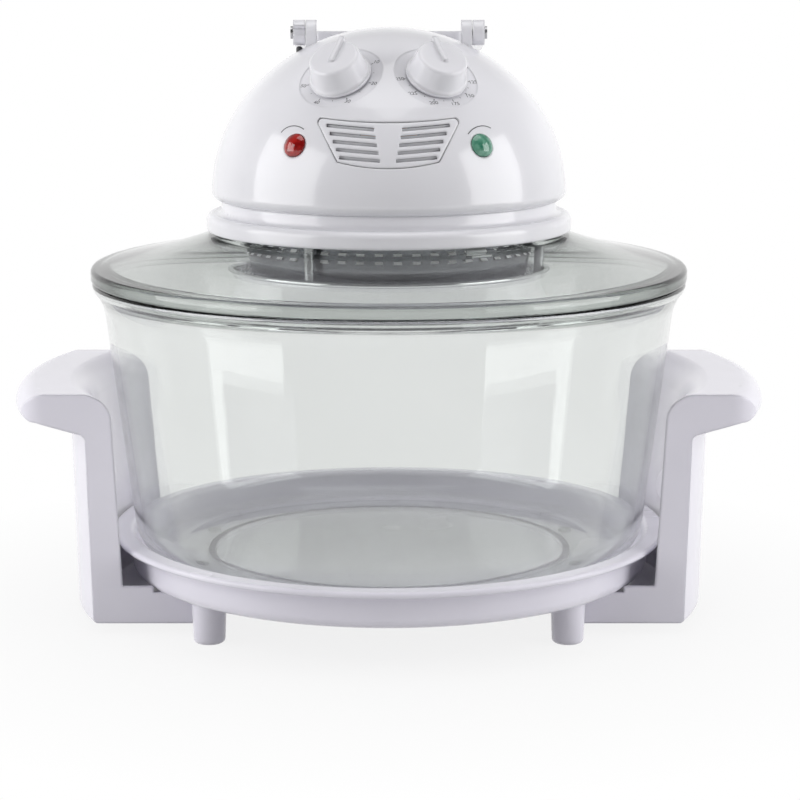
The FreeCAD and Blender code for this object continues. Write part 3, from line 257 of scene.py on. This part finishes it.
def plastic(name, low, high, rough, grain=0.0, coat=0.0, edge=0.0):
    """Plastic whose edges look rounded by the radius given as edge."""
    material, tree, shader = new_material(name)
    broad = noise(tree, 14.0)
    vary_color(tree, shader, broad, low, high)
    vary_roughness(tree, shader, broad, rough * 0.85, rough * 1.15)
    if grain:
        add_bump(tree, shader, noise(tree, 900.0, 1.0), grain)
    if edge:
        rounded = node(tree, "Bevel", Radius=edge)
        rounded.samples = 6
        tree.links.new(rounded.outputs["Normal"], shader.inputs["Normal"])
        tree.links.new(rounded.outputs["Normal"], shader.inputs["Coat Normal"])
    shader.inputs["Coat Weight"].default_value = coat
    shader.inputs["Coat Roughness"].default_value = 0.05
    return material


def metal(name, low, high, rough, grain=0.0, share=1.0):
    """Metal, or where share is less than 1 a plated metal whose haze takes the rest of the light."""
    material, tree, shader = new_material(name)
    shader.inputs["Metallic"].default_value = share
    broad = noise(tree, 30.0)
    vary_color(tree, shader, broad, low, high)
    vary_roughness(tree, shader, broad, rough * 0.8, rough * 1.25)
    if grain:
        add_bump(tree, shader, noise(tree, 400.0, 1.0), grain)
    return material


def clear_glass(name, surface, tint, density):
    """Glass with a grey surface that darkens with the way through it, as at a rim seen edge on."""
    material, tree, shader = new_material(name)
    shader.inputs["Transmission Weight"].default_value = 1.0
    shader.inputs["IOR"].default_value = 1.49
    broad = noise(tree, 9.0)
    vary_color(tree, shader, broad, [part * 0.98 for part in surface], surface)
    vary_roughness(tree, shader, broad, 0.0, 0.012)
    absorb = node(tree, "VolumeAbsorption", Color=(*tint, 1), Density=density)
    tree.links.new(absorb.outputs[0], tree.nodes["Material Output"].inputs["Volume"])
    return material


def lens_glass(name, deep, bright):
    material, tree, shader = new_material(name)
    shader.inputs["Transmission Weight"].default_value = 0.3
    shader.inputs["IOR"].default_value = 1.5
    shader.inputs["Coat Weight"].default_value = 0.8
    broad = noise(tree, 260.0)
    vary_color(tree, shader, broad, deep, bright)
    vary_roughness(tree, shader, broad, 0.06, 0.14)
    return material


WHITE_PLASTIC = plastic("white_plastic", (0.79, 0.785, 0.825), (0.82, 0.815, 0.855), 0.2, coat=0.5, edge=0.0018)
STAND_PLASTIC = plastic("stand_plastic", (0.77, 0.75, 0.83), (0.81, 0.79, 0.87), 0.24, coat=0.35, edge=0.0022)
# Mid-grey blades: painted shade, standing in for the shaded white louvres inside the vent slots.
SHADED_BLADE_GREY = plastic("painted_shade_blade", (0.5, 0.5, 0.52), (0.62, 0.62, 0.64), 0.4)
BLACK_PLASTIC = plastic("black_plastic", (0.030, 0.030, 0.033), (0.05, 0.05, 0.053), 0.45, 0.15)
SEAL = plastic("seal", (0.62, 0.62, 0.63), (0.7, 0.7, 0.71), 0.6, 0.2)
CERAMIC = plastic("ceramic", (0.74, 0.72, 0.68), (0.82, 0.8, 0.76), 0.5, 0.2)
INK = plastic("ink", (0.07, 0.07, 0.075), (0.1, 0.1, 0.11), 0.5)
BOWL_GLASS = clear_glass("bowl_glass", (0.905, 0.915, 0.91), (0.30, 0.36, 0.33), 11.0)
LID_GLASS = clear_glass("lid_glass", (0.955, 0.965, 0.96), (0.26, 0.31, 0.28), 70.0)
LAMP_GLASS = clear_glass("lamp_glass", (1.0, 0.99, 0.97), (0.9, 0.85, 0.8), 6.0)
CHROME = metal("chrome", (0.93, 0.93, 0.94), (0.98, 0.98, 0.99), 0.07, share=0.85)
# Matt near-white plastic rather than metal: painted light, standing in for the daylight seen through the
# shield's slots.
PAINTED_SLOT_LIGHT = plastic("painted_slot_light_white", (0.88, 0.88, 0.89), (0.96, 0.96, 0.97), 0.3)
POLISHED_STEEL = metal("polished_steel", (0.16, 0.165, 0.18), (0.24, 0.245, 0.26), 0.22, 0.05)
STEEL = metal("steel", (0.45, 0.45, 0.46), (0.55, 0.55, 0.56), 0.3, 0.1)
ALUMINIUM = metal("aluminium", (0.68, 0.68, 0.69), (0.76, 0.76, 0.77), 0.35, 0.1)
COPPER = metal("copper", (0.6, 0.26, 0.12), (0.7, 0.34, 0.17), 0.3, 0.3)
BRASS = metal("brass", (0.62, 0.47, 0.2), (0.7, 0.55, 0.26), 0.3, 0.1)
RED_LENS = lens_glass("red_lens", (0.32, 0.006, 0.005), (0.6, 0.02, 0.015))
GREEN_LENS = lens_glass("green_lens", (0.05, 0.27, 0.17), (0.2, 0.5, 0.36))

SLOT_MATERIALS = {
    "white_plastic": WHITE_PLASTIC, "bowl_glass": BOWL_GLASS, "lid_glass": LID_GLASS, "lamp_glass": LAMP_GLASS,
    "seal": SEAL, "chrome": CHROME, "polished_steel": POLISHED_STEEL, "steel": STEEL, "aluminium": ALUMINIUM,
    "ceramic": CERAMIC, "red_lens": RED_LENS, "green_lens": GREEN_LENS, "black_plastic": BLACK_PLASTIC,
    "copper": COPPER, "brass": BRASS,
}


def dress_cad_nodes():
    """Every CAD node takes the material of its slot, and the stand its own duller white."""
    for row in frame["record"]["subparts"]:
        item = nodes[row["node"]]
        of_stand = row["node"].startswith(("base_tray", "handle_left", "handle_right", "foot_"))
        item.data.materials.clear()
        item.data.materials.append(STAND_PLASTIC if of_stand else SLOT_MATERIALS[row["material_slot"]])


# Mesh helpers
def add_piece(name, mesh, material, body):
    mesh.materials.clear()
    mesh.materials.append(material)
    piece = bpy.data.objects.new(name, mesh)
    bpy.context.scene.collection.objects.link(piece)
    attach(piece, body)
    return piece


def arc_points(start, via, end, steps):
    """Points on the arc from start through via to end, without the start."""
    (ax, ay), (bx, by), (cx, cy) = start, via, end
    twice = 2 * (ax * (by - cy) + bx * (cy - ay) + cx * (ay - by))
    a, b, c = ax * ax + ay * ay, bx * bx + by * by, cx * cx + cy * cy
    x = (a * (by - cy) + b * (cy - ay) + c * (ay - by)) / twice
    y = (a * (cx - bx) + b * (ax - cx) + c * (bx - ax)) / twice
    first = math.atan2(ay - y, ax - x)
    turn = math.remainder(math.atan2(cy - y, cx - x) - first, 2 * math.pi)
    radius = math.hypot(ax - x, ay - y)
    angles = [first + turn * index / steps for index in range(1, steps + 1)]
    return [(x + radius * math.cos(angle), y + radius * math.sin(angle)) for angle in angles]


def outline_points(corners, steps=12):
    """A corner is (radius, height), or (radius, height, via radius, via height) where an arc leads to it."""
    points = []
    for index, corner in enumerate(corners):
        if len(corner) == 4:
            points += arc_points(corners[index - 1][:2], corner[2:], corner[:2], steps)
        else:
            points.append(corner)
    return points


def lathe_mesh(name, corners, turns=288):
    """A closed outline turned about Z, smooth but for its corners."""
    build = bmesh.new()
    rings = []
    for radius, height in outline_points(corners):
        if radius < 1e-7:
            rings.append([build.verts.new((0, 0, height))])
            continue
        angles = [2 * math.pi * index / turns for index in range(turns)]
        rings.append([build.verts.new((radius * math.cos(a), radius * math.sin(a), height)) for a in angles])
    for ring, following in zip(rings, rings[1:] + rings[:1]):
        if len(ring) == len(following) == 1:
            continue
        for index in range(turns):
            after = (index + 1) % turns
            corners_here = [ring[index % len(ring)], ring[after % len(ring)]]
            corners_here += [following[after % len(following)], following[index % len(following)]]
            build.faces.new(list(dict.fromkeys(corners_here)))
    bmesh.ops.recalc_face_normals(build, faces=build.faces)
    mesh = bpy.data.meshes.new(name)
    build.to_mesh(mesh)
    build.free()
    mesh.polygons.foreach_set("use_smooth", [True] * len(mesh.polygons))
    mesh.set_sharp_from_angle(angle=math.radians(35))
    return mesh


# Glass, turned finely enough that its edges draw as clean lines
def make_glass_bowl():
    corner = BOWL_CORNER
    inner_corner = corner - GLASS
    centre = rim_radius - 0.048
    wall_top = bowl_top - FLARE_HEIGHT
    wall_radius = rim_radius - 0.0075
    lip_radius = rim_radius - 0.001
    mesh = lathe_mesh("bowl", [
        (0, bowl_seat),
        (centre, bowl_seat),
        (centre + corner * 0.9925, bowl_seat + corner * 0.878,
         centre + corner * 0.663, bowl_seat + corner * 0.251),
        (wall_radius, wall_top),
        (lip_radius - 0.0004, bowl_top - 0.005, wall_radius + 0.0023, wall_top + 0.007),
        (lip_radius, bowl_top - 0.0032),
        (lip_radius - 0.0014, bowl_top, lip_radius - 0.0003, bowl_top - 0.0006),
        (rim_radius - 0.0056, bowl_top),
        (rim_radius - 0.007, bowl_top - 0.0016, rim_radius - 0.0066, bowl_top - 0.0004),
        (wall_radius - GLASS, wall_top, wall_radius - 0.0029, wall_top + 0.0076),
        (centre + inner_corner * 0.9925, bowl_seat + corner - inner_corner * 0.122),
        (centre, bowl_seat + GLASS,
         centre + inner_corner * 0.663, bowl_seat + corner - inner_corner * 0.749),
        (0, bowl_seat + GLASS),
    ])
    piece = add_piece("glass_bowl_smooth", mesh, BOWL_GLASS, "bowl")
    piece.visible_shadow = False
    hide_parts("glass_bowl")


def make_glass_lid():
    edge = bowl_top + RIM_EDGE
    neck_inside = neck_radius - GLASS
    ring_outer = rim_radius - 0.0089
    ring_inner = ring_outer - 0.0032
    shoulder = neck_top - 0.0042
    middle = (rim_radius + neck_radius) / 2
    mesh = lathe_mesh("lid", [
        (ring_outer, bowl_top),
        (rim_radius - 0.0014, bowl_top),
        (rim_radius, bowl_top + 0.0014, rim_radius - 0.0004, bowl_top + 0.0004),
        (rim_radius, edge - 0.0024),
        (rim_radius - 0.0028, edge, rim_radius - 0.0008, edge - 0.0007),
        (neck_radius + 0.0026, shoulder, middle, bowl_top + 0.0141),
        (neck_radius, neck_top - 0.001, neck_radius + 0.0006, shoulder + 0.0016),
        (neck_radius, neck_top),
        (neck_inside, neck_top),
        (neck_inside, shoulder - 0.0004),
        (neck_inside + 0.003, shoulder - 0.004, neck_inside + 0.0009, shoulder - 0.0026),
        (ring_inner, bowl_top + 0.004, middle - 0.0014, bowl_top + 0.0097),
        (ring_inner, bowl_top - 0.0036),
        (ring_outer, bowl_top - 0.0036, ring_inner + 0.0016, bowl_top - 0.0048),
    ])
    piece = add_piece("glass_lid_smooth", mesh, LID_GLASS, "lid")
    piece.visible_shadow = False
    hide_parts("glass_lid")


# Small pieces that only the picture needs
def seat_frame(x, level, sink):
    """A matrix on the dome whose Z points outward and whose X stays level, sunk by a depth."""
    place, outward = dome_arc_frame(x, level)
    along = Vector((0, 0, 1)).cross(outward).normalized()
    upright = outward.cross(along)
    turn = Matrix((along, upright, outward)).transposed().to_4x4()
    return Matrix.Translation(place - outward * sink) @ turn


def dome_arc_frame(x, level):
    """The same place worked out from the two arcs that make the dome's outline."""
    side = DOME_RISE * DOME_RISE / dome_radius
    side_centre = dome_radius - side
    cap = (side_centre ** 2 + DOME_RISE ** 2 - side ** 2) / (2 * (DOME_RISE - side))
    cap_centre = DOME_RISE - cap
    joint = cap_centre * (1 - cap / (cap - side))
    on_side = level < joint
    radius = side if on_side else cap
    middle = 0.0 if on_side else cap_centre
    reach = math.sqrt(radius ** 2 - (level - middle) ** 2)
    ring = reach + (side_centre if on_side else 0.0)
    y = -math.sqrt(ring ** 2 - x ** 2)
    outward = Vector((reach * x / ring, reach * y / ring, level - middle)).normalized()
    return Vector((x, y, DOME_LEVEL + level)), outward


def ribbon_mesh(name, rows):
    """Flat quads, each given by its four corners."""
    build = bmesh.new()
    for corners in rows:
        build.faces.new([build.verts.new(corner) for corner in corners])
    mesh = bpy.data.meshes.new(name)
    build.to_mesh(mesh)
    build.free()
    return mesh


def text_mesh(words, size):
    """A number in the plain built-in font, as a flat mesh centred on its own middle."""
    data = bpy.data.curves.new("number", "FONT")
    data.body = words
    data.size = size
    data.align_x = "CENTER"
    data.align_y = "CENTER"
    holder = bpy.data.objects.new("number", data)
    bpy.context.scene.collection.objects.link(holder)
    depsgraph = bpy.context.evaluated_depsgraph_get()
    mesh = bpy.data.meshes.new_from_object(holder.evaluated_get(depsgraph))
    bpy.data.objects.remove(holder)
    return mesh


def dial_print(name, side, numbers, sweep):
    """Ticks and plain numbers on the flat dial seat, from the top on clockwise as the knob turns."""
    seat = seat_frame(side * DIAL_X, DIAL_LEVEL, DIAL_DEPTH) @ Matrix.Translation((0, 0, 0.00006))
    build = bmesh.new()
    tick_count = 2 * (len(numbers) - 1)
    for index in range(tick_count + 1):
        angle = math.radians(-sweep * index / tick_count)
        long_tick = index % 2 == 0
        turn = seat @ Matrix.Rotation(angle, 4, "Z")
        inner, outer, half = 0.0177, 0.0191 if long_tick else 0.0185, 0.00022 if long_tick else 0.00014
        corners = [(-half, inner, 0), (half, inner, 0), (half, outer, 0), (-half, outer, 0)]
        build.faces.new([build.verts.new(turn @ Vector(corner)) for corner in corners])
    for index, number in enumerate(numbers):
        angle = math.radians(-sweep * index / (len(numbers) - 1))
        place = Matrix.Rotation(angle, 4, "Z") @ Vector((0, 0.0209, 0))
        figure = text_mesh(str(number), 0.0034)
        figure.transform(seat @ Matrix.Translation(place))
        build.from_mesh(figure)
        bpy.data.meshes.remove(figure)
    mesh = bpy.data.meshes.new(name)
    build.to_mesh(mesh)
    build.free()
    add_piece(name, mesh, INK, "lid")


def lamp_arcs():
    """The thin printed arc over each lamp, laid on the dome."""
    rows = []
    for side in (-1, 1):
        spots = []
        for index in range(13):
            share = index / 12
            along = math.radians(142.0 - 84.0 * share)
            x = side * LAMP_X + 0.0094 * math.cos(along)
            level = LAMP_LEVEL + 0.0098 * math.sin(along)
            place, outward = dome_arc_frame(x, level)
            radial = (place - dome_arc_frame(side * LAMP_X, LAMP_LEVEL)[0]).normalized()
            spots.append((place + outward * 0.0001, radial * 0.00026))
        for (a, width_a), (b, width_b) in zip(spots, spots[1:]):
            rows.append([a - width_a, b - width_b, b + width_b, a + width_a])
    add_piece("lamp_arcs", ribbon_mesh("lamp_arcs", rows), INK, "lid")


def vent_blades():
    """A slanted blade in each slot of the vent, as far into the slot as the daylight gets, in mid-grey as
    painted shade of the white louvres inside the slot.
    """
    rows = []
    last = VENT_ROWS - 1
    for row in range(VENT_ROWS):
        share = row / last
        level = VENT_TOP - 0.0052 - (VENT_TOP - VENT_BOTTOM - 0.0088) * share + 0.00005
        start = 0.0042 + 0.0032 * (1 - share)
        end = VENT_HALF_TOP - 0.0044 - (VENT_HALF_TOP - VENT_HALF_BOTTOM - 0.0035) * share
        for side in (-1, 1):
            edges = []
            for index in range(9):
                across = start + (end - start) * index / 8
                middle = level + (across - start) * math.tan(math.radians(4.0))
                top, outward = dome_arc_frame(side * across, middle + 0.00085)
                low, _ = dome_arc_frame(side * across, middle - 0.0003)
                edges.append((top - outward * 0.0007, low - outward * 0.0021))
            rows += [[a, b, d, c] for (a, c), (b, d) in zip(edges, edges[1:])]
    add_piece("vent_blades", ribbon_mesh("vent_blades", rows), SHADED_BLADE_GREY, "lid")


def shield_lips():
    """Turned-up lips beside the air slots of the steel shield, in matt near-white as painted light: the
    daylight that shows through the slots.
    """
    rows = []
    for index in range(SLOTS_PER_ROW):
        turn = Matrix.Rotation(2 * math.pi * index / SLOTS_PER_ROW, 4, "Z")
        for row in range(3):
            start = CUP_RADIUS + 0.0018 + 0.0026 * row
            floor = pan_level + SHEET_METAL
            corners = [
                (start + 0.0012, -0.0022, floor), (start + 0.0012, 0.0022, floor),
                (start + 0.0003, 0.0022, floor + 0.0013), (start + 0.0003, -0.0022, floor + 0.0013),
            ]
            rows.append([turn @ Vector(corner) for corner in corners])
        level = pan_level + 0.0163
        wall = CUP_RADIUS + 0.0023
        corners = [
            (wall + 0.0014, -0.0022, level + 0.001), (wall + 0.0014, 0.0022, level + 0.001),
            (wall + 0.0026, 0.0022, level - 0.0004), (wall + 0.0026, -0.0022, level - 0.0004),
        ]
        rows.append([turn @ Vector(corner) for corner in corners])
    add_piece("shield_lips", ribbon_mesh("shield_lips", rows), PAINTED_SLOT_LIGHT, "lid")


make_camera()
make_studio()
dress_cad_nodes()
make_glass_bowl()
make_glass_lid()
dial_print("timer_print", -1, range(0, 61, 10), 300.0)
dial_print("thermostat_print", 1, range(50, 251, 25), 270.0)
lamp_arcs()
vent_blades()
shield_lips()

bpy.context.scene.view_settings.view_transform = "Standard"
